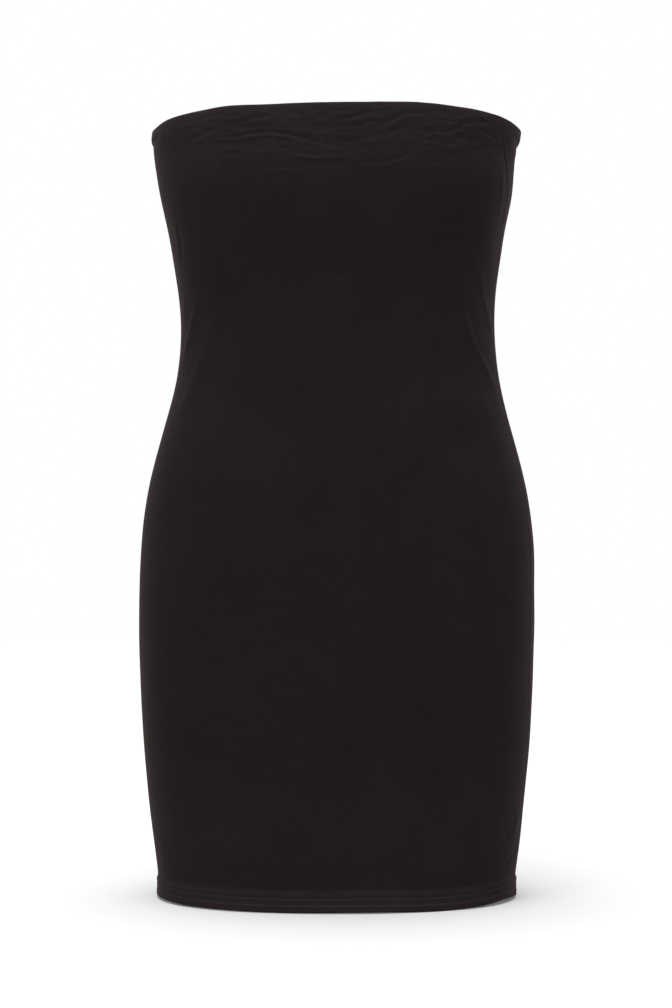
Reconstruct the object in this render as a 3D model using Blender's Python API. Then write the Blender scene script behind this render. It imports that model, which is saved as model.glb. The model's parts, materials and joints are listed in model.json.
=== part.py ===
"""Strapless bodycon mini dress in stretch jersey, hollow, in the shape it has when worn.

Metres, +Z up, front towards -Y. The origin is the centre of the top opening, at the height of the top edge.
The dress is two cut pieces, a front and a back panel, joined by two side seams. Each panel is one closed
thin wall: it follows rings worked out from the SECTIONS table, is two plies thick where its top edge and
its hem are turned in, and turns inwards at the seams as a seam allowance.
"""
import bpy
import numpy as np

MM = 0.001

# Driving dimensions
SIDE_LENGTH = 705 * MM          # along a side, from top edge to hem
PLY = 1.2 * MM                  # thickness of one layer of jersey
TOP_TURN = 8 * MM               # depth of the turned and topstitched top edge
TOP_EASE = 5 * MM               # height over which the top edge steps back to the single ply
HEM_TURN = 14 * MM              # depth of the turned hem
HEM_EASE = 6 * MM               # height over which the hem steps back to the single ply
TOP_STAND_OUT = 2.2 * MM        # how far the turned top edge stands proud of the body
HEM_STAND_OUT = 1.2 * MM        # how far the turned hem stands proud of the body
SEAM_GAP = 0.3 * MM             # clearance between the two panels at a seam
SEAM_ALLOWANCE = 6 * MM         # width of the allowance that a panel turns in at a seam
SEAM_ROLL = 1.4 * MM            # how far from the seam the cloth starts to roll in
SEAM_DIP = 0.8 * MM             # how deep the rolled groove of the seam is
SEAM_BLEND = 12 * MM            # width beside a seam over which the folds flatten out
EDGE_ROLL = 0.7 * MM            # how much each face rolls in at the fold of the top edge and of the hem
EDGE_ROLL_HEIGHT = 2 * MM       # height of that roll

# Cross sections of the body, in millimetres, a row for each height.
#   drop: below the top edge          left, right: reach to -X and +X
#   front, back: reach to -Y and +Y   round_f, round_b: fullness of the front and back curve, 2 is an ellipse
#   seam_l, seam_r: how far in front of the side line each side seam runs
SECTION_COLUMNS = ("drop", "left", "right", "front", "back", "round_f", "round_b", "seam_l", "seam_r")
SECTIONS = (
    (0, 169.8, 171.2, 115.4, 97, 2.10, 2.40, -56, 66),
    (14, 170.6, 169.1, 118.2, 98, 2.15, 2.42, -53, 62),
    (30, 169.0, 166.9, 121.5, 99, 2.20, 2.45, -48, 56),
    (60, 164.0, 163.9, 125.0, 98, 2.30, 2.45, -40, 46),
    (90, 157.4, 158.2, 123.5, 93, 2.30, 2.40, -35, 40),
    (120, 151.8, 153.0, 118.0, 86, 2.25, 2.35, -30, 33),
    (150, 147.0, 148.8, 111.0, 80, 2.20, 2.30, -26, 27),
    (180, 144.4, 147.4, 106.0, 77, 2.15, 2.25, -24, 25),
    (210, 145.3, 149.0, 104.5, 79, 2.15, 2.25, -24, 25),
    (240, 149.7, 153.1, 106.0, 85, 2.15, 2.25, -25, 27),
    (270, 157.4, 160.2, 109.0, 94, 2.20, 2.30, -28, 30),
    (300, 165.7, 168.3, 112.5, 104, 2.20, 2.35, -31, 33),
    (330, 172.7, 175.3, 115.5, 113, 2.25, 2.40, -34, 36),
    (365, 178.1, 181.2, 118.0, 118, 2.25, 2.45, -36, 39),
    (405, 180.8, 183.2, 119.5, 120, 2.25, 2.45, -38, 41),
    (450, 181.7, 183.2, 119.5, 117, 2.25, 2.45, -38, 41),
    (500, 180.5, 181.3, 118.5, 111, 2.25, 2.40, -36, 38),
    (560, 177.2, 178.5, 117.0, 106, 2.25, 2.35, -32, 34),
    (620, 171.5, 172.4, 115.5, 103, 2.25, 2.30, -28, 29),
    (665, 165.6, 167.3, 114.0, 101, 2.25, 2.30, -25, 26),
    (690, 162.8, 164.1, 113.0, 100, 2.25, 2.30, -24, 25),
    (705, 162.3, 163.4, 112.8, 100, 2.25, 2.30, -24, 25),
)

# How the front's top edge and hem wave up and down, in millimetres: place along X, rise, spread
TOP_WAVES = (
    (-170, -2.2, 11),
    (-140, 0.7, 24),
    (-98, 1.9, 24),
    (-40, 0.4, 50),
    (30, 0.8, 50),
    (84, 3.0, 42),
    (122, 0.8, 20),
    (144, 1.2, 24),
    (170, -1.5, 10),
)
HEM_WAVES = (
    (-162, 1.2, 18),
    (-45, -0.9, 60),
    (88, -1.2, 38),
    (152, 2.3, 17),
)

# The largest folds, in millimetres, a row for each: the panel, its two ends as (across, drop), its half
# width and its height. Across is measured along the cloth from the centre front or the centre back.
FOLDS = (
    ("front_panel", (-145, 27), (-102, 20), 5, 1.1),
    ("front_panel", (-105, 30), (-42, 30), 5, 1.5),
    ("front_panel", (-42, 31), (8, 44), 5, 1.3),
    ("front_panel", (-57, 43), (-9, 50), 5, 1.0),
    ("front_panel", (-70, 62), (-14, 62), 7, 1.0),
    ("front_panel", (34, 23), (82, 11), 6, 1.2),
    ("front_panel", (84, 27), (146, 12), 6, 1.6),
    ("front_panel", (14, 56), (64, 48), 6, 1.4),
    ("front_panel", (-136, 164), (-172, 226), 8, 1.7),
    ("front_panel", (-117, 184), (-149, 252), 10, 1.4),
    ("front_panel", (127, 178), (166, 240), 8, 1.7),
    ("front_panel", (150, 154), (176, 202), 8, 1.3),
    ("back_panel", (-128, 24), (-44, 34), 6, 1.4),
    ("back_panel", (-30, 22), (40, 14), 6, 1.2),
    ("back_panel", (52, 36), (120, 24), 7, 1.4),
    ("back_panel", (-104, 172), (-18, 184), 10, 2.0),
    ("back_panel", (-46, 200), (66, 197), 11, 2.2),
    ("back_panel", (10, 226), (98, 212), 11, 1.7),
    ("back_panel", (-142, 170), (-166, 236), 9, 1.6),
    ("back_panel", (138, 160), (168, 222), 9, 1.6),
)
FOLD_TAPER = 14 * MM            # length over which a fold dies away past each end
WAVE_FADE = 60 * MM             # height over which the waves of an edge die away
FRONT_BLEND = 40 * MM           # depth in front of the side line at which a wave has its full rise

# Rows of each panel's faces between the turned edges, in millimetres: where a band of rows ends, and
# about how high each of its rows is
ROW_BANDS = (
    (66, 8),
    (150, 17),
    (255, 15),
    (685, 23),
)
PANEL_COLUMNS = 21              # faces across a panel, seam to seam
COLUMN_CROWDING = 0.05          # how much the columns crowd towards the seams
RING_POINTS = 1440              # points of the ring from which a panel's columns are read
PROBE = 0.5 * MM                # half the length of ring over which its direction is taken
SHARP_EDGE = np.radians(40)     # faces that meet at more than this are shaded with a sharp edge

PANEL_COLOURS = {
    "front_panel": (0.0144, 0.0116, 0.0123, 1.0),
    "back_panel": (0.0139, 0.0112, 0.0119, 1.0),
}
CLOTH_ROUGHNESS = 0.7


def spline(knots, values, at):
    """Natural cubic spline through the knots, read at the given places."""
    gap = np.diff(knots)
    slope = np.diff(values) / gap
    size = len(knots)
    system = np.eye(size)
    bend = np.zeros(size)
    for i in range(1, size - 1):
        system[i, i - 1:i + 2] = gap[i - 1], 2 * (gap[i - 1] + gap[i]), gap[i]
        bend[i] = 6 * (slope[i] - slope[i - 1])
    curve = np.linalg.solve(system, bend)
    i = np.clip(np.searchsorted(knots, at) - 1, 0, size - 2)
    after = at - knots[i]
    before = knots[i + 1] - at
    cubic = (curve[i] * before ** 3 + curve[i + 1] * after ** 3) / (6 * gap[i])
    line = (values[i] / gap[i] - curve[i] * gap[i] / 6) * before
    return cubic + line + (values[i + 1] / gap[i] - curve[i + 1] * gap[i] / 6) * after


def smooth_step(start, end, at):
    """0 before start, 1 after end, and a smooth rise between."""
    share = np.clip((at - start) / (end - start), 0, 1)
    return share * share * (3 - 2 * share)


def turned_at(drop):
    """Share of the second ply at one drop, for the turned top edge and for the turned hem."""
    in_top = 1 - smooth_step(TOP_TURN, TOP_TURN + TOP_EASE, drop)
    in_hem = smooth_step(SIDE_LENGTH - HEM_TURN - HEM_EASE, SIDE_LENGTH - HEM_TURN, drop)
    return in_top, in_hem


def section_at(drop):
    """The named sizes of the cross section at one drop, with its turned edge's stand-out."""
    table = np.array(SECTIONS, dtype=float)
    sizes = {}
    for column, name in enumerate(SECTION_COLUMNS[1:], start=1):
        value = spline(table[:, 0] * MM, table[:, column], drop)
        sizes[name] = value if name.startswith("round") else value * MM
    in_top, in_hem = turned_at(drop)
    for name in ("left", "right", "front", "back"):
        sizes[name] += TOP_STAND_OUT * in_top + HEM_STAND_OUT * in_hem
    return sizes


def ring_at(drop):
    """The whole outline at one drop: the turn, the points, the length along it, and the section's sizes.

    Each quarter is a super-ellipse. Turn 0 and length 0 are at the centre front, and both grow towards +X.
    """
    size = section_at(drop)
    turn = np.linspace(-np.pi, np.pi, RING_POINTS + 1)
    ahead = np.cos(turn)
    aside = np.sin(turn)
    power = 2 / np.where(ahead > 0, size["round_f"], size["round_b"])
    reach_x = np.where(aside > 0, size["right"], size["left"])
    reach_y = np.where(ahead > 0, size["front"], size["back"])
    x = reach_x * np.sign(aside) * np.abs(aside) ** power
    y = -reach_y * np.sign(ahead) * np.abs(ahead) ** power
    step = np.hypot(np.diff(x), np.diff(y))
    along = np.concatenate(([0.0], np.cumsum(step)))
    along -= np.interp(0.0, turn, along)
    return turn, np.stack((x, y), axis=1), along, size


def read_ring(points, along, at):
    """Points of a closed ring at the given lengths along it, which may run on past its end."""
    length = along[-1] - along[0]
    wrapped = (at - along[0]) % length + along[0]
    return np.stack([np.interp(wrapped, along, points[:, k]) for k in (0, 1)], axis=1)


def directions(points, along, at):
    """Unit directions along the ring and out of it at the given lengths."""
    run = read_ring(points, along, at + PROBE) - read_ring(points, along, at - PROBE)
    tangent = run / np.linalg.norm(run, axis=1)[:, None]
    outward = np.stack((tangent[:, 1], -tangent[:, 0]), axis=1)
    return tangent, outward


def seam_along(turn, points, along, side, forward):
    """Length along the ring at which a side seam lies, on the side of X given by +1 or -1."""
    half = turn * side > 0
    order = np.argsort(points[half, 1])
    return np.interp(-forward, points[half, 1][order], along[half][order])


def panel_columns():
    """Places of a panel's columns from 0 to 1 between its seams, closer together towards the seams."""
    even = np.linspace(0, 1, PANEL_COLUMNS + 1)
    return even - COLUMN_CROWDING * np.sin(2 * np.pi * even)


def fold_height(name, across, drop):
    """Sum of the panel's folds: each is a soft ridge beside a straight line, fading past its ends."""
    height = np.zeros_like(across)
    for panel, start, end, half_width, ridge in FOLDS:
        if panel != name:
            continue
        first = np.array(start) * MM
        run = np.array(end) * MM - first
        length = np.hypot(*run)
        dx = across - first[0]
        dz = drop - first[1]
        along = (dx * run[0] + dz * run[1]) / length
        off = (dz * run[0] - dx * run[1]) / length
        past = np.maximum(np.maximum(-along, along - length), 0)
        fade = np.exp(-(past / FOLD_TAPER) ** 2)
        height += ridge * MM * fade * np.exp(-(off / (half_width * MM)) ** 2)
    return height


def panel_span(name, turn, points, along, size):
    """Where a panel starts and ends along the ring, and where its centre line is."""
    left = seam_along(turn, points, along, -1, size["seam_l"])
    right = seam_along(turn, points, along, 1, size["seam_r"])
    length = along[-1] - along[0]
    if name == "front_panel":
        return left, right, 0.0
    return right, left + length, length / 2


def panel_ring(name, drop):
    """Outer and inner outline of one panel at one drop, from one allowance's tip to the other's."""
    turn, points, along, size = ring_at(drop)
    start, end, middle = panel_span(name, turn, points, along, size)
    body = start + (end - start) * panel_columns()
    body[0] += SEAM_GAP / 2 + SEAM_ROLL
    body[-1] -= SEAM_GAP / 2 + SEAM_ROLL
    at = np.concatenate(([start + SEAM_GAP / 2], body, [end - SEAM_GAP / 2]))
    tangent, outward = directions(points, along, at)

    rolled = 1 - smooth_step(0, EDGE_ROLL_HEIGHT, min(drop, SIDE_LENGTH - drop))
    wall = PLY * (1 + sum(turned_at(drop))) - 2 * EDGE_ROLL * rolled
    flat_at_seams = smooth_step(0, SEAM_BLEND, np.minimum(at - start, end - at))
    relief = fold_height(name, at - middle, drop) * flat_at_seams - EDGE_ROLL * rolled
    relief[[0, -1]] -= SEAM_DIP
    outer = read_ring(points, along, at) + outward * relief[:, None]
    inner = outer - outward * wall
    inner[0] += tangent[0] * wall
    inner[-1] -= tangent[-1] * wall

    tips = [outer[k] - outward[k] * SEAM_ALLOWANCE for k in (0, -1)]
    outer = np.concatenate(([tips[0]], outer, [tips[1]]))
    inner = np.concatenate(([tips[0] + tangent[0] * wall], inner, [tips[1] - tangent[-1] * wall]))
    return outer, inner


def row_drops():
    """Drops of the rows of faces: the turned top edge, the bands of the body, and the turned hem."""
    top_ends = TOP_TURN + TOP_EASE
    drops = [0, EDGE_ROLL_HEIGHT, TOP_TURN, TOP_TURN + TOP_EASE / 2, top_ends]
    for band_end, step in ROW_BANDS:
        count = round((band_end * MM - drops[-1]) / (step * MM))
        drops.extend(np.linspace(drops[-1], band_end * MM, count + 1)[1:])
    drops.extend((SIDE_LENGTH - HEM_TURN, SIDE_LENGTH - EDGE_ROLL_HEIGHT, SIDE_LENGTH))
    return np.array(drops)


def edge_rise(x, y, drop):
    """How far the front is lifted by the waves of its top edge and hem, which fade away from the edge."""
    rise = np.zeros_like(x)
    for waves, from_edge in ((TOP_WAVES, drop), (HEM_WAVES, SIDE_LENGTH - drop)):
        fade = 1 - smooth_step(0, WAVE_FADE, from_edge)
        for place, height, spread in waves:
            rise += fade * height * MM * np.exp(-((x - place * MM) / (spread * MM)) ** 2)
    return rise * smooth_step(0, FRONT_BLEND, -y)


def panel_mesh(name):
    """Closed wall of one panel: outer and inner grids of points, joined round all four edges."""
    drops = row_drops()
    outer = []
    inner = []
    for drop in drops:
        for line, side in zip(panel_ring(name, drop), (outer, inner)):
            lift = edge_rise(line[:, 0], line[:, 1], drop)
            side.append(np.column_stack((line, lift - drop)))
    points = np.concatenate(outer + inner)
    out, back = np.arange(len(points)).reshape(2, len(drops), -1)

    def quads(a, b, c, d):
        return np.stack((a.ravel(), b.ravel(), c.ravel(), d.ravel()), axis=1)

    faces = [
        quads(out[:-1, :-1], out[1:, :-1], out[1:, 1:], out[:-1, 1:]),
        quads(back[:-1, :-1], back[:-1, 1:], back[1:, 1:], back[1:, :-1]),
        quads(out[0, :-1], out[0, 1:], back[0, 1:], back[0, :-1]),
        quads(out[-1, :-1], back[-1, :-1], back[-1, 1:], out[-1, 1:]),
        quads(out[:-1, 0], back[:-1, 0], back[1:, 0], out[1:, 0]),
        quads(out[:-1, -1], out[1:, -1], back[1:, -1], back[:-1, -1]),
    ]
    mesh = bpy.data.meshes.new(name)
    mesh.from_pydata(points.tolist(), [], np.concatenate(faces).tolist())
    mesh.validate()
    mesh.shade_smooth()
    mesh.set_sharp_from_angle(angle=SHARP_EDGE)
    return mesh


def jersey(name, colour):
    """Matt black stretch jersey."""
    material = bpy.data.materials.new(name)
    material.use_nodes = True
    shader = material.node_tree.nodes["Principled BSDF"]
    shader.inputs["Base Color"].default_value = colour
    shader.inputs["Roughness"].default_value = CLOTH_ROUGHNESS
    shader.inputs["Metallic"].default_value = 0.0
    return material


def add_panel(name, colour):
    """One cut piece of the dress, with its own material."""
    mesh = panel_mesh(name)
    mesh.materials.append(jersey(name + "_jersey", colour))
    piece = bpy.data.objects.new(name, mesh)
    bpy.context.scene.collection.objects.link(piece)


def build():
    for item in list(bpy.data.objects):
        bpy.data.objects.remove(item, do_unlink=True)
    for name, colour in PANEL_COLOURS.items():
        add_panel(name, colour)


build()
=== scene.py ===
"""Looks of the strapless bodycon mini dress in black stretch jersey, filled out as worn.

Each panel is one ply of jersey, worked out as a surface of two parameters: a place across the panel
between its side seams, and a place down the ply, which starts at the raw edge turned in at the top, rolls
over the top edge, runs down the body, rolls under at the hem and ends at the hem's raw edge inside.
Creases are soft laps, ridges and troughs laid along listed paths. Threads are small tubes laid along
the stitch rows.
"""
import json
import bpy
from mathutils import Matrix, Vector
import numpy as np

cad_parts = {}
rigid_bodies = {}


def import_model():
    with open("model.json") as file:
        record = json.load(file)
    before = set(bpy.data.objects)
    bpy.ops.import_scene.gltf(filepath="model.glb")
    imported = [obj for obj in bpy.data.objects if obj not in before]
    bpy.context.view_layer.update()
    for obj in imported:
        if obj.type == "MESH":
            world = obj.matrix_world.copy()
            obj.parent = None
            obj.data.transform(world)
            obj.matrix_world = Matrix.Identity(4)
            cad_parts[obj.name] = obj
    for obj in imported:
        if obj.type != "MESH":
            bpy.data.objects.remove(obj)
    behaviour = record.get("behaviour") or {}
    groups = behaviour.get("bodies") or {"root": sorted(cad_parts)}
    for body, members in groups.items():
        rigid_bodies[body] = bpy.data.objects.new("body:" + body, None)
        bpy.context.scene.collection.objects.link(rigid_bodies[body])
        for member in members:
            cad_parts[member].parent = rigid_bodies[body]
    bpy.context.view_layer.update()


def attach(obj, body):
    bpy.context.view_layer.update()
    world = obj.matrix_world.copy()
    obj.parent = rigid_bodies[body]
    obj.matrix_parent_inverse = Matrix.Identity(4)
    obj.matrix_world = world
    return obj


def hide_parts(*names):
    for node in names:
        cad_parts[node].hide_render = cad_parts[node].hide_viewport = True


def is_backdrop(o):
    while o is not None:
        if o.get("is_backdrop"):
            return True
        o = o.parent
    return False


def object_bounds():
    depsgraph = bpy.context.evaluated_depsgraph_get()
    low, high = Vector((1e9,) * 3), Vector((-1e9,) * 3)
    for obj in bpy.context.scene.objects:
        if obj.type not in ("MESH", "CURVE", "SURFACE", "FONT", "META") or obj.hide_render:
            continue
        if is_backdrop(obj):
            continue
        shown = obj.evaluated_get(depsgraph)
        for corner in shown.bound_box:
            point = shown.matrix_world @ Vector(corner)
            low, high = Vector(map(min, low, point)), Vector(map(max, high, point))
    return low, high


MM = 0.001
for item in list(bpy.data.objects):
    bpy.data.objects.remove(item, do_unlink=True)
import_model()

# ---------------------------------------------- sizes of the body and of the cut pieces

SIDE_LENGTH = 705 * MM          # along a side, from top edge to hem
PLY = 1.1 * MM                  # thickness of one layer of jersey
PLY_GAP = 0.1 * MM              # air between the two layers of a turned edge
ROLL = (PLY + PLY_GAP) / 2      # radius of the ply's middle where it rolls over an edge
INSIDE_TURN = 2 * PLY + PLY_GAP         # how deep inside a turned edge its inner face lies
TOP_TURN = 8 * MM               # height of the flat band of the turned top edge
TOP_EASE = 5 * MM               # height over which it steps back to the single ply
TOP_STAND_OUT = 2.2 * MM        # how far the turned top edge stands proud of the body
TOP_RAW = 11 * MM               # where the turned-in ply ends, below the top edge
TOP_STITCH = 9.1 * MM           # the topstitch, below the top edge
HEM_TURN = 14 * MM              # the same for the hem, above its edge
HEM_EASE = 6 * MM
HEM_STAND_OUT = 1.2 * MM
HEM_RAW = 14 * MM
HEM_LOW = 6.2 * MM              # the hem's twin rows of stitches
HEM_HIGH = 11.8 * MM
SEAM_GAP = 0.04 * MM            # clearance between the two panels, which the seam draws together
SEAM_ROLL = 1.6 * MM            # how wide the rolled edge beside a seam is
SEAM_DIP = 1.0 * MM             # how deep that roll goes
ALLOWANCE = 6.5 * MM            # width of the seam allowances inside
ALLOWANCE_HALF = 0.45 * PLY     # half their thickness, since the overlock presses them a little
ALLOWANCE_START = 1.0 * MM      # how far below the outer face they start
ALLOWANCE_SHORT = 1.5 * MM      # how far they end short of the raw edges of top and hem
ALLOWANCE_LEAN = 0.35           # how far they lean towards the back, as a share of their width
ALLOWANCE_ROWS = 151
ALLOWANCE_COLUMNS = 6

# Cross sections of the body, in millimetres, a row for each height.
#   drop: below the top edge          left, right: reach to -X and +X
#   front, back: reach to -Y and +Y   round_f, round_b: fullness of the front and back curve, 2 is an ellipse
#   seam_l, seam_r: how far in front of the side line each side seam runs
SECTION_COLUMNS = ("drop", "left", "right", "front", "back", "round_f", "round_b", "seam_l", "seam_r")
SECTIONS = (
    (0, 169.8, 171.2, 115.4, 97, 2.10, 2.40, -56, 66),
    (14, 170.6, 169.1, 118.2, 98, 2.15, 2.42, -53, 62),
    (30, 169.0, 166.9, 121.5, 99, 2.20, 2.45, -48, 56),
    (60, 164.0, 163.9, 125.0, 98, 2.30, 2.45, -40, 46),
    (90, 157.4, 158.2, 123.5, 93, 2.30, 2.40, -35, 40),
    (120, 151.8, 153.0, 118.0, 86, 2.25, 2.35, -30, 33),
    (150, 147.0, 148.8, 111.0, 80, 2.20, 2.30, -26, 27),
    (180, 144.4, 147.4, 106.0, 77, 2.15, 2.25, -24, 25),
    (210, 145.3, 149.0, 104.5, 79, 2.15, 2.25, -24, 25),
    (240, 149.7, 153.1, 106.0, 85, 2.15, 2.25, -25, 27),
    (270, 157.4, 160.2, 109.0, 94, 2.20, 2.30, -28, 30),
    (300, 165.7, 168.3, 112.5, 104, 2.20, 2.35, -31, 33),
    (330, 172.7, 175.3, 115.5, 113, 2.25, 2.40, -34, 36),
    (365, 178.1, 181.2, 118.0, 118, 2.25, 2.45, -36, 39),
    (405, 180.8, 183.2, 119.5, 120, 2.25, 2.45, -38, 41),
    (450, 181.7, 183.2, 119.5, 117, 2.25, 2.45, -38, 41),
    (500, 180.5, 181.3, 118.5, 111, 2.25, 2.40, -36, 38),
    (560, 177.2, 178.5, 117.0, 106, 2.25, 2.35, -32, 34),
    (620, 171.5, 172.4, 115.5, 103, 2.25, 2.30, -28, 29),
    (665, 165.6, 167.3, 114.0, 101, 2.25, 2.30, -25, 26),
    (690, 162.8, 164.1, 113.0, 100, 2.25, 2.30, -24, 25),
    (705, 162.3, 163.4, 112.8, 100, 2.25, 2.30, -24, 25),
)

# How the front's top edge and hem wave up and down, in millimetres: place along X, rise, spread
TOP_WAVES = ((-170, -2.2, 11), (-140, 0.7, 24), (-98, 1.9, 24), (-40, 0.4, 50), (30, 0.8, 50), (84, 3.0, 42),
             (122, 0.8, 20), (144, 1.2, 24), (170, -1.5, 10))
HEM_WAVES = ((-162, 1.2, 18), (-45, -0.9, 60), (88, -1.2, 38), (152, 2.3, 17))
WAVE_FADE = 60 * MM             # how far from the edge the waves fade away
FRONT_BLEND = 40 * MM           # how far in front of the side line they are whole

# ---------------------------------------------- creases

# Creases of each panel in millimetres, a row for each. Its columns are the kind, the half width, the height
# and the path as (across, drop) points. Across is measured along the cloth from the centre front or the
# centre back. A lap has a sharp hollow just above its path and a lip below it, and a welt is a narrow lip
# under a shallow hollow. A ridge is a soft swelling, a drag a pulled line, steep above and long below, and a
# trough a hollow.
CREASES = {
    "front": (
        # under the top edge, from the wearer's right to left
        ("lap", 1.4, 0.86, ((-109, 29), (-93, 30), (-78, 29), (-62, 28), (-49, 29), (-36, 32))),
        ("welt", 1.4, 0.95, ((-58, 28), (-49, 29), (-40, 31), (-31, 34), (-21, 36), (-9, 40), (0, 42),
                             (10, 44))),
        ("ridge", 3.4, 0.7, ((-113, 29), (-95, 29), (-76, 30), (-64, 31))),
        ("trough", 3.6, 0.6, ((-97, 22), (-78, 22), (-60, 23), (-46, 25))),
        ("welt", 1.8, 0.75, ((-140, 30), (-127, 26), (-118, 24), (-110, 21), (-104, 19))),
        ("welt", 1.5, 0.5, ((-93, 18), (-84, 18), (-76, 16), (-71, 14), (-63, 14), (-52, 15))),
        ("lap", 1.3, 0.37, ((-52, 12.5), (-35, 12.5), (-21, 13), (-14, 14.5))),
        ("ridge", 2.4, 0.5, ((-72, 46), (-63, 45), (-50, 46))),
        ("welt", 1.5, 0.8, ((-58, 42), (-45, 43), (-40, 45), (-32, 48), (-22, 50), (-12, 50), (-2, 48.5))),
        ("ridge", 2.6, 0.55, ((-38, 48), (-24, 51), (-8, 51), (8, 51), (18, 54))),
        ("welt", 1.9, 0.5, ((-68, 64), (-61, 60), (-52, 59), (-40, 60), (-31, 62), (-15, 64))),
        ("ridge", 4.6, 0.75, ((-42, 24), (-27, 28), (-14, 30), (1, 29), (14, 30), (30, 30))),
        ("lap", 1.5, 0.8, ((-2, 16), (8, 17), (14, 16), (20, 15), (27, 12), (37, 12))),
        ("lap", 1.7, 0.8, ((32, 24), (43, 22), (49, 19), (54, 16), (59, 14), (66, 13), (75, 12), (87, 13))),
        ("ridge", 3.2, 0.6, ((22, 38), (30, 37), (38, 36))),
        ("lap", 1.7, 0.85, ((33, 36), (43, 32), (49, 30), (54, 28), (57, 26), (64, 24), (72, 24))),
        ("ridge", 1.5, 0.3, ((56, 23), (68, 23), (79, 23), (88, 21))),
        ("lap", 1.5, 1.01, ((71, 31), (79, 30), (86, 27), (95, 26), (104, 25), (110, 22), (115, 20),
                            (120, 16), (128, 14), (137, 12), (146, 12), (154, 14))),
        ("ridge", 2.8, 0.55, ((55, 36), (64, 35), (74, 35))),
        ("welt", 1.4, 0.95, ((12, 53), (21, 56), (32, 56), (43, 56), (48, 54), (55, 52), (60, 50), (66, 47),
                             (71, 44))),
        ("ridge", 3.2, 0.65, ((92, 37), (102, 39), (111, 37), (123, 34))),
        ("welt", 2.0, 0.5, ((82, 54), (94, 53), (101, 51))),
        ("welt", 2.0, 0.8, ((130, 18), (139, 21), (147, 22), (154, 23), (160, 26))),
        ("ridge", 2.6, 0.4, ((-106, 38), (-93, 39), (-82, 39))),
        # drag lines from the sides at the waist
        ("drag", 2.4, 0.7, ((-162, 156), (-166, 167), (-171, 180))),
        ("drag", 3.0, 1.25, ((-139, 164), (-142, 170), (-144, 176), (-148, 184), (-152, 192), (-157, 200),
                             (-161, 208), (-170, 222))),
        ("drag", 5.0, 1.1, ((-117, 179), (-121, 190), (-125, 208), (-133, 222), (-138, 231), (-143, 241),
                            (-149, 250), (-155, 262), (-161, 272))),
        ("drag", 2.8, 0.9, ((145, 136), (150, 152), (154, 164), (161, 174), (168, 186), (176, 200))),
        ("drag", 2.8, 1.2, ((116, 160), (122, 176), (128, 190), (133, 202), (140, 212), (148, 221),
                            (156, 230), (164, 239), (172, 249))),
        ("drag", 3.6, 0.7, ((141, 252), (146, 262), (154, 273))),
        # long soft lines beside the bust
        ("trough", 2.2, 1.25, ((-167, 96), (-165, 108), (-164, 119), (-164, 132))),
        ("ridge", 3.0, 0.5, ((-176, 94), (-172, 111), (-172, 125))),
        ("ridge", 4.0, 0.5, ((171, 44), (174, 66), (173, 92))),
        # low on the wearer's left
        ("trough", 3.2, 0.9, ((186, 630), (176, 640), (163, 648))),
        ("trough", 3.2, 0.9, ((195, 657), (182, 666), (165, 674))),
        ("trough", 2.6, 0.6, ((190, 612), (182, 620), (172, 626))),
        # a soft fold above the hem
        ("welt", 2.6, 0.4, ((-134, 676), (-118, 669), (-102, 661), (-64, 659), (-20, 662), (24, 664))),
        ("ridge", 3.2, 0.5, ((192, 632), (188, 640), (183, 648))),
        ("trough", 3.6, 0.5, ((-176, 648), (-166, 656), (-154, 662))),
    ),
    "back": (
        ("lap", 1.6, 0.95, ((-132, 22), (-112, 27), (-86, 29), (-60, 34), (-40, 36))),
        ("ridge", 3.6, 0.6, ((-104, 22), (-82, 24), (-62, 26))),
        ("lap", 1.5, 0.75, ((-34, 23), (-10, 19), (16, 17), (44, 14))),
        ("lap", 1.6, 0.95, ((48, 38), (72, 31), (98, 29), (124, 22))),
        ("lap", 1.8, 0.64, ((-64, 47), (-44, 50), (-22, 49))),
        ("lap", 1.5, 0.75, ((6, 52), (30, 55), (52, 50))),
        ("ridge", 4.2, 0.6, ((-22, 33), (4, 30), (30, 31))),
        ("lap", 1.5, 0.53, ((92, 14), (110, 11.5), (130, 13))),
        ("lap", 1.5, 0.48, ((-98, 14), (-76, 12), (-56, 14))),
        ("ridge", 6.0, 1.7, ((-108, 168), (-78, 178), (-48, 184), (-14, 186))),
        ("ridge", 7.0, 2.0, ((-50, 203), (-16, 199), (24, 198), (70, 194))),
        ("ridge", 6.5, 1.6, ((4, 228), (36, 224), (68, 218), (102, 208))),
        ("ridge", 6.0, 0.9, ((-92, 224), (-62, 232), (-30, 234))),
        ("ridge", 5.0, 1.3, ((-138, 164), (-148, 184), (-158, 206), (-168, 240))),
        ("ridge", 5.0, 1.3, ((134, 156), (146, 178), (156, 198), (170, 226))),
        ("ridge", 3.2, 0.8, ((-160, 150), (-167, 166), (-174, 184))),
        ("ridge", 4.0, 0.8, ((150, 236), (160, 252), (170, 262))),
        ("trough", 3.6, 0.6, ((172, 640), (160, 650), (146, 655))),
        ("trough", 3.6, 0.6, ((-182, 634), (-170, 646), (-156, 652))),
    ),
}
CREASE_DEPTH = 0.87             # share of the heights above that the cloth takes
CREASE_STEPS = 28               # points read along each crease's path
CREASE_END = (-0.02, 0.2)       # shares of a crease's length between which it rises, at each end
CREASE_THIN = 0.75              # share of its width that a crease has at its ends
CREASE_REACH = (8, 5)           # half widths by which it may reach past its path, on the low and high side

# Profiles of the kinds across their path, as rows of (share of the height, middle, width above the middle and
# width below it), in half widths; the middle counts down the cloth from the path
CREASE_KINDS = {
    "lap": ((-0.9, -0.7, 1.8, 0.85), (0.3, -3.8, 1.6, 1.6), (0.5, 0.9, 0.8, 1.4)),
    "welt": ((-0.45, -1.0, 1.3, 0.9), (0.6, 0.8, 0.9, 1.8)),
    "ridge": ((1.0, 0.0, 1.1, 0.9), (-0.35, 2.0, 1.2, 1.2)),
    "drag": ((1.0, 0.0, 1.15, 2.2),),
    "trough": ((-1.0, 0.0, 1.0, 1.0),),
}


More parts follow.
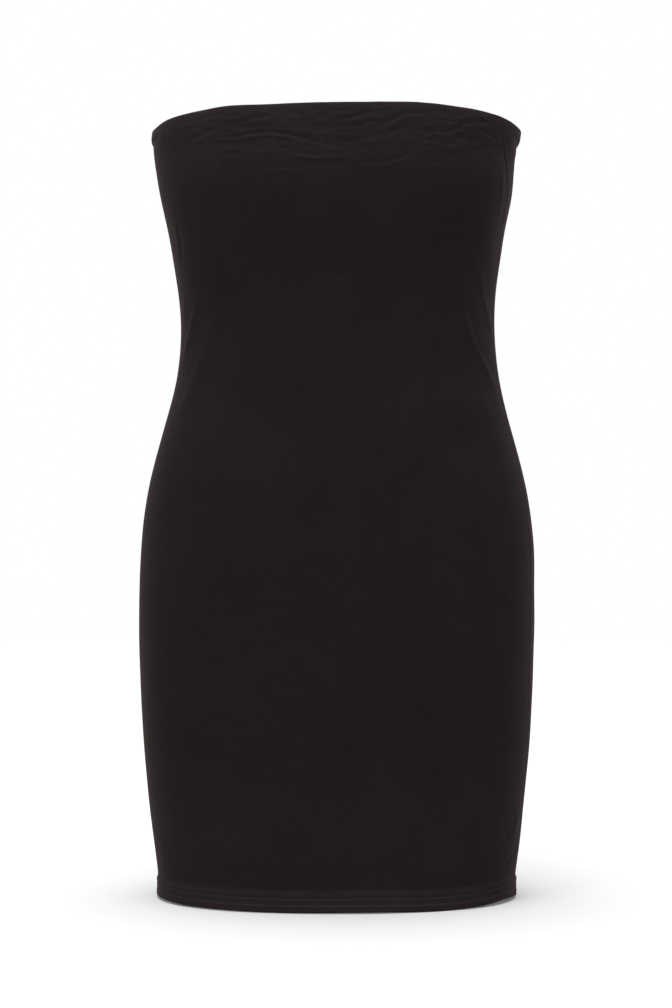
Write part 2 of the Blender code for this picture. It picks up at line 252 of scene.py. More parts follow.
def spline(knots, values, at):
    """Natural cubic spline through the knots, read at the given places."""
    gap = np.diff(knots)
    slope = np.diff(values) / gap
    size = len(knots)
    system = np.eye(size)
    bend = np.zeros(size)
    for i in range(1, size - 1):
        system[i, i - 1:i + 2] = gap[i - 1], 2 * (gap[i - 1] + gap[i]), gap[i]
        bend[i] = 6 * (slope[i] - slope[i - 1])
    curve = np.linalg.solve(system, bend)
    i = np.clip(np.searchsorted(knots, at) - 1, 0, size - 2)
    after = at - knots[i]
    before = knots[i + 1] - at
    cubic = (curve[i] * before ** 3 + curve[i + 1] * after ** 3) / (6 * gap[i])
    line = (values[i] / gap[i] - curve[i] * gap[i] / 6) * before
    return cubic + line + (values[i + 1] / gap[i] - curve[i + 1] * gap[i] / 6) * after


def smooth_step(start, end, at):
    """0 before start, 1 after end, and a smooth rise between: 3t^2 - 2t^3."""
    share = np.clip((at - start) / (end - start), 0, 1)
    return share * share * (3 - 2 * share)


def bell(off, width):
    """A hump of height 1 that fades on both sides: exp(-(off / width)^2)."""
    return np.exp(-(off / width) ** 2)


def lopsided_bell(off, above, below):
    """A bell with one width above its middle and another below it."""
    return bell(off, np.where(off > 0, below, above))


def unit(vectors):
    """The same directions, with length 1."""
    return vectors / np.linalg.norm(vectors, axis=-1, keepdims=True)


def sections(drops):
    """The named sizes of the cross sections at the given drops: a spline through each column of the table,
    and the turned edges' stand-out."""
    table = np.array(SECTIONS)
    in_top = 1 - smooth_step(TOP_TURN, TOP_TURN + TOP_EASE, drops)
    in_hem = smooth_step(SIDE_LENGTH - HEM_TURN - HEM_EASE, SIDE_LENGTH - HEM_TURN, drops)
    sizes = {}
    for column, name in enumerate(SECTION_COLUMNS[1:], start=1):
        value = spline(table[:, 0] * MM, table[:, column], drops)
        sizes[name] = value if name.startswith("round") else value * MM
    for name in ("left", "right", "front", "back"):
        sizes[name] = sizes[name] + TOP_STAND_OUT * in_top + HEM_STAND_OUT * in_hem
    return {name: value[:, None] for name, value in sizes.items()}


RING_POINTS = 2161
OUTWARD_STEP = 0.4 * MM         # how far to each side a ring is read for the way out of it


class Rings:
    """Outlines of the body at an array of drops, each once and a half round: from the centre back, past the
    wearer's right, the front and the wearer's left, and on to the front again. A quarter of an outline is a
    super-ellipse, x = a sin(t)^(2/n) and y = -b cos(t)^(2/n)."""

    def __init__(self, drops):
        size = sections(drops)
        turn = np.linspace(-np.pi, 2 * np.pi, RING_POINTS)[None, :]
        ahead = np.cos(turn)
        aside = np.sin(turn)
        power = 2 / np.where(ahead > 0, size["round_f"], size["round_b"])
        reach_x = np.where(aside > 0, size["right"], size["left"])
        reach_y = np.where(ahead > 0, size["front"], size["back"])
        self.x = reach_x * np.sign(aside) * np.abs(aside) ** power
        self.y = -reach_y * np.sign(ahead) * np.abs(ahead) ** power
        step = np.hypot(np.diff(self.x, axis=1), np.diff(self.y, axis=1))
        self.along = np.concatenate((np.zeros((len(drops), 1)), np.cumsum(step, axis=1)), axis=1)
        front = (RING_POINTS - 1) // 3
        once = 2 * front
        self.along -= self.along[:, front:front + 1]
        self.length = self.along[:, once:once + 1] - self.along[:, 0:1]
        self.seam_left = self.seam(slice(0, front), -size["seam_l"], -1)
        self.seam_right = self.seam(slice(front, once), -size["seam_r"], 1)

    def seam(self, half, y_line, order):
        """Length along each outline at which it crosses the seam's y."""
        found = [np.interp(line, y[half][::order], along[half][::order])
                 for line, y, along in zip(y_line[:, 0], self.y, self.along)]
        return np.array(found)[:, None]

    def span(self, panel):
        """Start, end and centre line of a panel along each outline."""
        if panel == "front":
            return self.seam_left, self.seam_right, np.zeros_like(self.length)
        return self.seam_right, self.seam_left + self.length, self.length / 2

    def read(self, at):
        """Points of the outlines at the given lengths along them, one row of lengths for each outline."""
        return [np.array([np.interp(*row) for row in zip(at, self.along, line)]) for line in (self.x, self.y)]

    def outward(self, at):
        """Unit directions out of the outlines at the given lengths."""
        ahead_x, ahead_y = self.read(at + OUTWARD_STEP)
        behind_x, behind_y = self.read(at - OUTWARD_STEP)
        run = np.hypot(ahead_x - behind_x, ahead_y - behind_y)
        return (ahead_y - behind_y) / run, (behind_x - ahead_x) / run


def path_distance(path, across, drop):
    """Signed distance of each place on the cloth to a smooth path, which grows down the cloth, and the share
    of the path's length at which it is nearest."""
    knots = np.linspace(0, 1, len(path))
    t = np.linspace(0, 1, CREASE_STEPS)
    path_across = spline(knots, path[:, 0], t)
    path_drop = spline(knots, path[:, 1], t)
    best = np.full(across.shape, np.inf)
    signed = np.zeros_like(across)
    share = np.zeros_like(across)
    for k in range(CREASE_STEPS - 1):
        step_across = path_across[k + 1] - path_across[k]
        step_drop = path_drop[k + 1] - path_drop[k]
        from_across = across - path_across[k]
        from_drop = drop - path_drop[k]
        length = step_across ** 2 + step_drop ** 2
        inside = np.clip((from_across * step_across + from_drop * step_drop) / length, 0, 1)
        off = np.hypot(from_across - inside * step_across, from_drop - inside * step_drop)
        closer = off < best
        best = np.where(closer, off, best)
        way = 1 if step_across >= 0 else -1
        below = np.sign(way * (from_drop * step_across - from_across * step_drop))
        signed = np.where(closer, off * below, signed)
        share = np.where(closer, (k + inside) * t[1], share)
    return signed, share


def crease_relief(panel, across, drop):
    """Sum of the panel's creases: each is a few bells exp(-((s - m) / w)^2) side by side across its path,
    with s the distance from the path, and it rises and dies away smoothly along the path."""
    relief = np.zeros_like(across)
    for kind, half_width, height, path in CREASES[panel]:
        half_width = half_width * MM
        path = np.array(path) * MM
        low = path.min(axis=0) - CREASE_REACH[0] * half_width
        high = path.max(axis=0) + CREASE_REACH[1] * half_width
        near = (across > low[0]) & (across < high[0]) & (drop > low[1]) & (drop < high[1])
        if not near.any():
            continue
        signed, share = path_distance(path, across[near], drop[near])
        fade = smooth_step(*CREASE_END, share) * smooth_step(*CREASE_END, 1 - share)
        width = half_width * (CREASE_THIN + (1 - CREASE_THIN) * fade)
        for part, middle, above, below in CREASE_KINDS[kind]:
            hump = lopsided_bell(signed / width - middle, above, below)
            relief[near] += CREASE_DEPTH * height * MM * part * fade * hump
    return relief


# ---------------------------------------------- the cloth between its creases

# Ripples of the cloth, a row for each sine: its length in millimetres, its height as a share, its phase in
# radians, and the share of BACK_SHIFT that the back panel adds to that phase.
WAVES_ACROSS = ((131, 0.5, 0.4, 1), (83, 0.35, 2.1, 0), (57, 0.2, 4.0, 1))
WAVES_DOWN = ((97, 0.5, 1.0, 0), (61, 0.4, 3.3, 1), (233, 0.6, 0.2, 0))
CRUMPLE_ACROSS = ((23, 0.5, 0.3, 0), (14.5, 0.35, 1.9, 1), (41, 0.4, 4.4, 0))
CRUMPLE_DOWN = ((13, 0.5, 0.8, 1), (8.3, 0.4, 2.9, 0))
STREAK_ACROSS = ((67, 0.5, 1.1, 0), (39, 0.5, 0.3, 1), (27, 0.3, 2.0, 0))
STREAK_DOWN = ((6.7, 0.5, 2.3, 1), (4.9, 0.35, 0.7, 0), (9.1, 0.4, 5.0, 0))
PUCKERS = ((7.9, 0.5, 0.2, 0), (11.3, 0.4, 1.1, 1), (19.7, 0.4, 2.7, 0), (5.1, 0.2, 0.9, 0))
GATHERS = ((13.7, 0.5, 0.5, 0), (8.9, 0.35, 2.2, 0), (27, 0.5, 1.3, 0))
ALLOWANCE_WAVES = ((31, 0.3, 0.4, 0), (17, 0.2, 1.0, 0), (71, 0.4, 2.0, 0))
BACK_SHIFT = 1.7

WAVE_HEIGHT = 0.45 * MM         # the broad waves of a whole panel
WAVE_SEAM = 30 * MM             # how far from a seam they are whole
CRUMPLE = 0.60 * MM             # height of the small unevenness between the creases under the top edge
CRUMPLE_SLANTS = (0.35, -0.12)  # how far its ripples across and down lean
STREAKS = 0.33 * MM             # height of the fine streaks in it
STREAK_SLANT = 0.05
UNEVEN_DROP = 22 * MM           # where both are highest, and over what height they fade
UNEVEN_HEIGHT = 20 * MM
UNEVEN_SEAM = 9 * MM            # how near to a seam they fade
CALM_FROM = (112 * MM, 150 * MM)        # how far aside they start to fade, and where they are least
CALM = 0.65                     # share that they lose there
TOP_FILL = 36 * MM              # drop by which the step of the top edge has gone, where the cloth is tight
LIP_FROM = (157 * MM, 169.5 * MM)       # how far aside the step starts to show, and where it is whole

# Rows of stitches: drop, height of the puckers along them, depth of the groove that they press into the
# cloth, and height of the welt that stands up below it, in millimetres but for the drop
STITCH_ROWS = (
    (TOP_STITCH, 0.13, 0.22, 0.05),
    (SIDE_LENGTH - HEM_HIGH, 0.11, 0.1, 0.26),
    (SIDE_LENGTH - HEM_LOW, 0.09, 0.1, 0.3),
)
PUCKER_HALF = 3.2 * MM          # half widths of the puckers and the groove, across the row
GROOVE_HALF = 0.75 * MM
WELT_BELOW = 0.9 * MM           # how far below the row the welt is highest, and its two half widths
WELT_HALVES = (0.6 * MM, 2.0 * MM)

HEM_FLARE = 0.7 * MM            # how far the hem's band spreads at its edge
HEM_ROLL = 0.29 * MM            # the soft roll above the band, its puckers, place and half width
HEM_ROLL_PUCKER = 0.12 * MM
HEM_ROLL_ABOVE = 1.5 * MM
HEM_ROLL_HALF = 2.4 * MM
GATHER = 0.3 * MM               # height of the gathers beside a seam, and how far they reach
GATHER_HALF = 5.5 * MM
SEAM_OPENS = (0.9, 14 * MM, 32 * MM)    # share of its dip that the seam gains, between two drops
SEAM_SHUTS = (0.55, 44 * MM, 80 * MM)   # and share of it that it loses again farther down
SEAM_ROUND = 1.4                # how sharply the dip bends in beside the seam


def ripple(at, waves, panel="front"):
    """Sum of sines of unlike lengths, so that it never quite repeats."""
    shift = 0.0 if panel == "front" else BACK_SHIFT
    return sum(height * np.sin(2 * np.pi * at / (length * MM) + phase + moved * shift)
               for length, height, phase, moved in waves)


def broad_waves(panel, across, drop, to_seam):
    """Slow waves of the whole panel: a ripple across times a ripple down."""
    waves = ripple(across, WAVES_ACROSS, panel) * ripple(drop, WAVES_DOWN, panel)
    return WAVE_HEIGHT * waves * smooth_step(0, WAVE_SEAM, to_seam)


def unevenness(panel, across, drop, to_seam, aside):
    """Crumples and fine streaks under the top edge: each a ripple across times a ripple down, a little
    aslant, under a bell down the cloth and calmer at the sides."""
    crumple = (ripple(across + CRUMPLE_SLANTS[0] * drop, CRUMPLE_ACROSS, panel)
               * ripple(drop + CRUMPLE_SLANTS[1] * across, CRUMPLE_DOWN, panel))
    streak = ripple(across, STREAK_ACROSS, panel) * ripple(drop + STREAK_SLANT * across, STREAK_DOWN, panel)
    under_edge = bell(drop - UNEVEN_DROP, UNEVEN_HEIGHT) * (1 - CALM * smooth_step(*CALM_FROM, aside))
    return (1 - bell(to_seam, UNEVEN_SEAM)) * under_edge * (CRUMPLE * crumple + STREAKS * streak)


def filled_step(drop, aside):
    """Cloth drawn tight below the top edge, which makes its step a slow slope except at the sides."""
    steep = smooth_step(TOP_TURN, TOP_TURN + TOP_EASE, drop)
    slow = smooth_step(TOP_TURN, TOP_FILL, drop)
    return (1 - smooth_step(*LIP_FROM, aside)) * TOP_STAND_OUT * (steep - slow)


def stitch_marks(drop, pull):
    """What the rows of stitches do to the cloth: puckers that follow the thread's pull, a groove and a welt,
    each a bell across the row."""
    relief = np.zeros_like(drop)
    for row, pucker, groove, welt in STITCH_ROWS:
        off = drop - row
        relief += MM * (pucker * pull * bell(off, PUCKER_HALF) - groove * bell(off, GROOVE_HALF)
                        + welt * lopsided_bell(off - WELT_BELOW, *WELT_HALVES))
    return relief


def hem_form(drop, pull):
    """The hem's band, which flares towards its edge, and the soft, puckered roll above it."""
    band = SIDE_LENGTH - HEM_TURN
    roll = bell(drop - (band - HEM_ROLL_ABOVE), HEM_ROLL_HALF)
    return HEM_FLARE * smooth_step(band, SIDE_LENGTH, drop) + roll * (HEM_ROLL + HEM_ROLL_PUCKER * pull)


def seam_form(drop, to_seam):
    """Beside a seam: small gathers, and the rolled edge, which shows most just below the turned top."""
    gathers = GATHER * bell(to_seam, GATHER_HALF) * ripple(drop, GATHERS)
    opens, shuts = (share * smooth_step(start, end, drop) for share, start, end in (SEAM_OPENS, SEAM_SHUTS))
    return gathers - SEAM_DIP * (1 - smooth_step(0, SEAM_ROLL, to_seam)) ** SEAM_ROUND * (opens - shuts)


def cloth_relief(panel, across, drop, to_seam, aside):
    """Height of the cloth above the body: its creases and the forms above, added up. Aside is how far to
    the side of the centre plane a place lies."""
    pull = ripple(across, PUCKERS, panel)
    return (crease_relief(panel, across, drop) + broad_waves(panel, across, drop, to_seam)
            + unevenness(panel, across, drop, to_seam, aside) + filled_step(drop, aside)
            + stitch_marks(drop, pull) + hem_form(drop, pull) + seam_form(drop, to_seam))


def edge_rise(x, y, drop):
    """How far the front is lifted by the waves of its top edge and hem: bells along X that fade away from
    the edge and towards the back."""
    rise = np.zeros_like(x)
    for waves, from_edge in ((TOP_WAVES, drop), (HEM_WAVES, SIDE_LENGTH - drop)):
        fade = 1 - smooth_step(0, WAVE_FADE, from_edge)
        for place, height, spread in waves:
            rise += fade * height * MM * bell(x - place * MM, spread * MM)
    return rise * smooth_step(0, FRONT_BLEND, -y)


def cloth_points(panel, drops, places):
    """Outer face of the cloth on a grid: rows at rising drops, columns at the places from 0 to 1 between
    the seams. A point is the outline's point moved out of it by the relief. Returns the points, the unit
    normals out of the body, the unit directions down the cloth and the lengths across it."""
    rings = Rings(drops)
    start, end, middle = rings.span(panel)
    start = start + SEAM_GAP / 2
    end = end - SEAM_GAP / 2
    at = start + (end - start) * places[None, :]
    across = at - middle
    drop = np.repeat(drops[:, None], len(places), axis=1)
    x, y = rings.read(at)
    relief = cloth_relief(panel, across, drop, np.minimum(at - start, end - at), np.abs(x))
    out_x, out_y = rings.outward(at)
    x = x + out_x * relief
    y = y + out_y * relief
    points = np.stack((x, y, edge_rise(x, y, drop) - drop), axis=-1)
    down = np.gradient(points, drops, axis=0)
    normal = np.cross(down, np.gradient(points, axis=1))
    return points, unit(normal), unit(down), across


# ---------------------------------------------- meshes

def linear(red, green, blue):
    """Scene colour of a display colour given as 0 to 255 a channel."""
    share = np.array((red, green, blue)) / 255
    value = np.where(share <= 0.04045, share / 12.92, ((share + 0.055) / 1.055) ** 2.4)
    return (*value.tolist(), 1.0)


def add_object(name, data):
    """An object in the scene with the given data."""
    item = bpy.data.objects.new(name, data)
    bpy.context.scene.collection.objects.link(item)
    return item


def make_piece(name, points, faces, material, uv=None, painted_light_share=None):
    """A mesh object at the origin from an array of points and arrays of faces, with its own UV map and how
    much lighter than its plain colour the cloth is painted at each point, as painted light."""
    mesh = bpy.data.meshes.new(name)
    mesh.from_pydata(points.tolist(), [], [face for part in faces for face in part.tolist()])
    if uv is not None:
        layer = mesh.uv_layers.new(name="cloth")
        corner = np.zeros(len(mesh.loops), dtype=np.int32)
        mesh.loops.foreach_get("vertex_index", corner)
        layer.data.foreach_set("uv", uv[corner].astype(np.float32).ravel())
    # painted light: the share by which the cloth is painted lighter at each point
    if painted_light_share is not None:
        tone = mesh.attributes.new("painted_light_share", "FLOAT", "POINT")
        tone.data.foreach_set("value", painted_light_share.astype(np.float32).ravel())
    mesh.shade_smooth()
    mesh.materials.append(material)
    return add_object(name, mesh)


def quads(a, b, c, d):
    """Four-sided faces from four arrays of corner numbers."""
    return np.stack((a.ravel(), b.ravel(), c.ravel(), d.ravel()), axis=1)


def border(outer, inner, turned):
    """Faces that join an edge of a wall's outer grid to the same edge of its inner grid, which may have a
    point for each of the outer one's or for each second one."""
    step = (len(outer) - 1) // (len(inner) - 1)
    corners = [outer[j:len(outer) - step + j:step] for j in range(step + 1)] + [inner[1:], inner[:-1]]
    faces = np.stack(corners, axis=1)
    return faces[:, ::-1] if turned else faces


def wall_faces(outer, inner):
    """Faces of a closed wall between two grids of point numbers, facing out of the wall all round."""
    return [
        quads(outer[:-1, :-1], outer[1:, :-1], outer[1:, 1:], outer[:-1, 1:]),
        quads(inner[:-1, :-1], inner[:-1, 1:], inner[1:, 1:], inner[1:, :-1]),
        border(outer[0], inner[0], False),
        border(outer[-1], inner[-1], True),
        border(outer[:, 0], inner[:, 0], True),
        border(outer[:, -1], inner[:, -1], False),
    ]


# ---------------------------------------------- panels

ROLL_STEPS = 7                  # rows round a rolled edge
TOP_INSIDE_ROWS = 8             # rows of the ply inside, at the top and at the hem
HEM_INSIDE_ROWS = 9
LAST_POINTS = 5                 # points from the last band to the hem's roll, or 6 to make the rows odd
PANEL_COLUMNS = 221             # an odd number, as the rows are, so that each second one gives the inside
COLUMN_CROWDING = 0.055         # how much closer together they are at the seams
ROLL_COLUMNS = (0.0003, 0.0012, 0.0023, 0.0034)         # places of the fine columns beside a seam

# Rows down the outside, in millimetres: where a band of rows ends, and the height of its rows
ROW_BANDS = ((7.0, 1.1), (13.4, 0.6), (66, 0.76), (150, 2.2), (275, 2.3), (625, 7.5), (684, 2.4),
             (691.6, 1.0), (694.8, 0.45), (697.2, 0.8), (700.2, 0.45))

# Painted light on the jersey: how much lighter than its plain colour it is painted at each drop, a painted
# highlight along the rolled top edge, painted light over the upper bust and below it, and a lighter tone low
# down and on the hem's band. Rows of (drop in mm, share).
PAINTED_LIGHT_BY_DROP = ((0, 1.35), (1.2, 1.1), (3.5, 0.6), (6, 0.42), (12, 0.34), (30, 0.29), (50, 0.22), (75, 0.20),
            (125, 0.25), (165, 0.25), (215, 0.13), (265, 0.10), (400, 0.12), (560, 0.16), (640, 0.31),
            (683, 0.33), (687, 0.39), (691, 0.73), (705, 0.95))

# Painted light that the sides add to it, a painted highlight along the outline of the body: rows of
# (drop in mm, share at the wearer's right, share at the wearer's left)
PAINTED_RIM_LIGHT = ((0, 0.0, 0.0), (35, -0.05, 0.1), (60, 0.0, 0.5), (85, 0.28, 0.65), (115, 0.45, 0.55),
               (150, 0.3, 0.28), (200, 0.02, 0.08), (220, -0.06, 0.06), (260, 0.1, 0.06), (420, 0.07, 0.16),
               (500, 0.18, 0.16), (640, 0.08, 0.1), (690, 0.0, 0.0))
SIDE_FROM = (0.87, 0.975)       # share of the reach aside at which that starts, and at which it is whole
HEM_END_PLAIN = 0.3             # share of its painted light that the hem loses towards the sides
HEM_END_ACROSS = (110 * MM, 170 * MM)   # where across and down that starts, and where it is whole
HEM_END_DROP = (680 * MM, 695 * MM)


def ply_path():
    """The way down one ply: drop on the body, depth of the ply's middle below the outer face, the angle it
    has rolled through (0 outside, pi inside), the way of the edge that it rolls over (-1 up, 1 down), and
    the length run so far."""
    near = PLY / 2
    far = near + 2 * ROLL
    first = ROLL + PLY / 2
    last = SIDE_LENGTH - first
    outside = [first]
    for band_end, step in ROW_BANDS:
        count = max(1, round((band_end * MM - outside[-1]) / (step * MM)))
        outside.extend(np.linspace(outside[-1], band_end * MM, count + 1)[1:])
    outside.extend(np.linspace(outside[-1], last, LAST_POINTS + len(outside) % 2)[1:])
    over = np.linspace(np.pi, 0, ROLL_STEPS + 2)[1:-1]
    under = over[::-1]
    stretches = (
        (np.linspace(TOP_RAW, first, TOP_INSIDE_ROWS), far, np.pi, -1),
        (first - ROLL * np.sin(over), near + ROLL - ROLL * np.cos(over), over, -1),
        (outside, near, 0, 0),
        (last + ROLL * np.sin(under), near + ROLL - ROLL * np.cos(under), under, 1),
        (np.linspace(last, SIDE_LENGTH - HEM_RAW, HEM_INSIDE_ROWS), far, np.pi, 1),
    )
    drop, depth, rolled, edge = np.concatenate([np.broadcast_arrays(*row) for row in stretches], axis=1)
    run = np.concatenate(([0.0], np.cumsum(np.hypot(np.diff(drop), np.diff(depth)))))
    return drop, depth, rolled, edge, run


def seam_places():
    """Places of the columns from 0 to 1: u - c sin(2 pi u), which is closer together at the seams, with a
    fine band for the roll."""
    roll = np.array(ROLL_COLUMNS)
    even = np.linspace(0, 1, PANEL_COLUMNS + 2 - 2 * len(roll))
    places = even - COLUMN_CROWDING * np.sin(2 * np.pi * even)
    return np.concatenate(([0.0], roll, places[2:-2], 1 - roll[::-1], [1.0]))


def allowance(panel, side):
    """Seam allowance inside one seam of a panel: a strip of the ply that stands in from the seam and leans
    to the back by the square of its depth, with a wave at its raw edge. Returns the grid of its middle by
    drop and by width, its unit normals and its UV."""
    drops = np.linspace(TOP_RAW + ALLOWANCE_SHORT, SIDE_LENGTH - HEM_RAW - ALLOWANCE_SHORT, ALLOWANCE_ROWS)
    rings = Rings(drops)
    start, end, middle = rings.span(panel)
    seam = start if side < 0 else end
    share = np.linspace(0, 1, ALLOWANCE_COLUMNS)[None, :]
    deep = ALLOWANCE_START + share * (ALLOWANCE - ALLOWANCE_START)
    wave = ripple(drops, ALLOWANCE_WAVES)[:, None]
    to_back = side if panel == "front" else -side
    lean = ALLOWANCE_LEAN * deep ** 2 / ALLOWANCE + wave * MM * share ** 2
    shift = to_back * lean - side * (SEAM_GAP / 2 + PLY / 2)
    x, y = rings.read(seam)
    out_x, out_y = rings.outward(seam)
    z = edge_rise(x, y, drops[:, None]) - drops[:, None]
    points = np.stack((x - out_y * shift - out_x * deep, y + out_x * shift - out_y * deep,
                       z + 0 * deep), axis=-1)
    normal = unit(np.cross(np.gradient(points, axis=0), np.gradient(points, axis=1)))
    uv = np.stack((seam - middle + side * deep, -drops[:, None] + 0 * deep), axis=-1)
    return points, normal, uv


def table_read(rows, drop, column=1):
    """Values in a column of a table at each drop; the table's first column is the drop in mm."""
    rows = np.array(rows)
    return np.interp(drop, rows[:, 0] * MM, rows[:, column])


def painted_light(points, across, drop):
    """How much lighter the jersey is painted at each point of a panel, as painted light: as its drop says,
    less towards the ends of the hem, and more towards each side, where a painted highlight runs along the
    outline."""
    hem_end = smooth_step(*HEM_END_ACROSS, np.abs(across)) * smooth_step(*HEM_END_DROP, drop)[:, None]
    aside = np.abs(points[..., 0])
    aside = smooth_step(*SIDE_FROM, aside / aside.max(axis=1, keepdims=True))
    right, left = (table_read(PAINTED_RIM_LIGHT, drop, column)[:, None] for column in (1, 2))
    return (table_read(PAINTED_LIGHT_BY_DROP, drop)[:, None] * (1 - HEM_END_PLAIN * hem_end)
            + aside * np.where(points[..., 0] < 0, right, left))


def panel_mesh(panel, material):
    """One cut piece as a closed ply: the grid of its middle, moved half its thickness each way along the
    ply's own normal, which turns with it through the rolled edges, and its two seam allowances. Each wall
    is a pair of grids with their UV and painted light, and the ply's inner one has every second point."""
    drop, depth, rolled, edge, run = ply_path()
    rows, row_of = np.unique(np.round(drop, 7), return_inverse=True)
    points, normal, down, across = (grid[row_of] for grid in cloth_points(panel, rows, seam_places()))
    rolled = rolled[:, None, None]
    away = np.cos(rolled) * normal + np.sin(rolled) * edge[:, None, None] * down
    middle = points - depth[:, None, None] * normal
    half = away * PLY / 2
    uv = np.stack((across, -run[:, None] + 0 * across), axis=-1)
    # painted light: how much lighter each point of the cloth is painted
    pale = painted_light(points, across, drop)
    walls = [((middle + half, uv, pale), ((middle - half)[::2, ::2], uv[::2, ::2], pale[::2, ::2]))]
    for side in (-1, 1):
        strip, strip_normal, strip_uv = allowance(panel, side)
        # the seam allowances take the painted light of their drop
        strip_pale = table_read(PAINTED_LIGHT_BY_DROP, -strip[..., 2])
        half = strip_normal * ALLOWANCE_HALF
        walls.append(((strip + half, strip_uv, strip_pale), (strip - half, strip_uv, strip_pale)))
    faces, first = [], 0
    for wall in walls:
        numbers = []
        for grid, _, _ in wall:
            rows, columns = grid.shape[:2]
            numbers.append(first + np.arange(rows * columns).reshape(rows, columns))
            first += rows * columns
        faces += wall_faces(*numbers)
    points, uv, pale = (np.concatenate([grids[kind].reshape(-1, width) for wall in walls for grids in wall])
                        for kind, width in enumerate((3, 2, 1)))
    return make_piece(panel + "_jersey", points, faces, material, uv, pale)


# ---------------------------------------------- threads

THREAD = 0.2 * MM               # radius of the sewing thread
LOOPER = 0.17 * MM              # radius of the softer threads inside
TUBE_SIDES = 6                  # two four-sided faces close each end
TUBE_END = 0.55                 # share of its radius that a thread has at its ends
TOP_PITCH = 3.0 * MM            # stitch lengths of the topstitch, the hem's rows, their inside, the overlocks
HEM_PITCH = 2.9 * MM
LOOPER_PITCH = 3.0 * MM
OVERLOCK_PITCH = 2.6 * MM
OVERLOCK_WIDTH = 4.0 * MM       # from the needle line to the raw edge
STITCH_POINTS = 6
STITCH_RISE = 0.16 * MM         # how far a stitch's middle rises, and how far its ends lie below the face
STITCH_SINK = 0.12 * MM
STITCH_SHARE = 0.84             # share of its pitch that a stitch shows
STITCH_STRAYS = 0.03            # how much its place and its length vary, in pitches
STITCH_VARIES = 0.025
ROW_END = 0.006                 # place at which the threads inside start, from 0 to 1 between the seams
ROW_HALF = 0.3 * MM             # how far above and below a row the cloth is read for its normal
PAST_LOW = 0.5 * MM             # how far past the hem's needle lines the crossing thread turns
PAST_HIGH = 1.0 * MM
PAST_RAW = 0.25 * MM            # how far past the raw edge at the top its thread turns, and how much higher
OVER_RAW = 0.35 * MM
COIL_LIFT = 0.8 * LOOPER        # how far off the seam allowances the middle of their thread lies
COIL_TILT = np.array((0, 0, 0.02))      # small turn of its normal, which keeps that off its direction

# One round of the coil about both seam allowances, a row for each corner: panel, column of its allowance,
# and how far on in the round
COIL = (("front", 1, 0.0), ("front", 5, 0.3), ("back", 5, 0.5), ("back", 1, 0.8))


def tubes(centres, normals, radius):
    """Closed tubes round many short lines at once: a point of a tube is c + r (cos t s + sin t n), with n
    the line's normal and s = n x its direction. Lines are rows of points; the tube narrows at its ends."""
    axis = unit(np.gradient(centres, axis=1))
    normals = unit(normals - axis * np.sum(normals * axis, axis=2, keepdims=True))
    sides = np.cross(normals, axis)
    turn = np.arange(TUBE_SIDES) * 2 * np.pi / TUBE_SIDES
    lines, steps = centres.shape[:2]
    size = np.ones(steps)
    size[[0, -1]] = TUBE_END
    ring = (np.cos(turn)[:, None] * sides[:, :, None] + np.sin(turn)[:, None] * normals[:, :, None])
    points = centres[:, :, None] + radius * size[None, :, None, None] * ring
    number = np.arange(lines * steps * TUBE_SIDES).reshape(lines, steps, TUBE_SIDES)
    beside = np.roll(number, -1, axis=2)
    faces = [quads(number[:, :-1], beside[:, :-1], beside[:, 1:], number[:, 1:])]
    for end, corners in ((0, (0, 3, 2, 1)), (0, (0, 5, 4, 3)), (-1, (0, 1, 2, 3)), (-1, (0, 3, 4, 5))):
        faces.append(number[:, end][:, corners])
    return points.reshape(-1, 3), np.concatenate(faces)


def joined(parts):
    """Points and faces of several meshes as one."""
    points, faces, first = [], [], 0
    for part_points, part_faces in parts:
        points.append(part_points)
        faces.append(part_faces + first)
        first += len(part_points)
    return np.concatenate(points), np.concatenate(faces)


def row_line(panel, drop, places, depth):
    """Points and normals along one row of the cloth, at a depth below its outer face."""
    drops = np.array((drop - ROW_HALF, drop, drop + ROW_HALF))
    points, normal, _, _ = cloth_points(panel, drops, places)
    return points[1] - depth * normal[1], normal[1]


def stitch_count(panel, drop, pitch):
    """How many stitches of a length lie on a row between the seams."""
    start, end, _ = Rings(np.array((drop,))).span(panel)
    return round(float(end[0, 0] - start[0, 0] - SEAM_GAP) / pitch)


def stitch_row(panel, drop, pitch, seed, inside=False):
    """A row of straight stitches, outside or on the inner face of a turned edge: each is a short line whose
    middle rises h (1 - (2t)^4) above where its ends sink into the cloth, a little uneven in length and
    place."""
    count = stitch_count(panel, drop, pitch)
    random = np.random.default_rng(seed)
    t = np.linspace(-0.5, 0.5, STITCH_POINTS)
    centre = (np.arange(count) + 0.5 + random.normal(0, STITCH_STRAYS, count)) / count
    length = (STITCH_SHARE + random.normal(0, STITCH_VARIES, count)) / count
    places = np.clip(centre[:, None] + length[:, None] * t[None, :], 0, 1)
    line, normal = row_line(panel, drop, places.ravel(), INSIDE_TURN if inside else 0.0)
    line = line.reshape(count, STITCH_POINTS, 3)
    normal = normal.reshape(count, STITCH_POINTS, 3) * (-1 if inside else 1)
    height = STITCH_RISE * (1 - (2 * t) ** 4) - STITCH_SINK
    return tubes(line + normal * height[None, :, None], normal, THREAD)


def zigzag(panel, count, first, second):
    """One thread inside that runs to and fro between two rows, each given as its drop and depth."""
    places = np.linspace(ROW_END, 1 - ROW_END, 2 * count + 1)
    rows = [row_line(panel, drop, places[start:-1:2], depth)
            for start, (drop, depth) in enumerate((first, second))]
    line, normal = (np.stack(both, axis=1).reshape(1, -1, 3) for both in zip(*rows))
    return tubes(line, -normal, LOOPER)


def cover_stitch(panel):
    """Threads inside the hem: one that crosses between both needle lines, and rows of loops along them."""
    low = SIDE_LENGTH - HEM_LOW
    high = SIDE_LENGTH - HEM_HIGH
    count = stitch_count(panel, high, LOOPER_PITCH)
    return joined([
        zigzag(panel, count, (low + PAST_LOW, INSIDE_TURN), (high - PAST_HIGH, INSIDE_TURN)),
        stitch_row(panel, low, LOOPER_PITCH, 21, inside=True),
        stitch_row(panel, high, LOOPER_PITCH, 22, inside=True)])


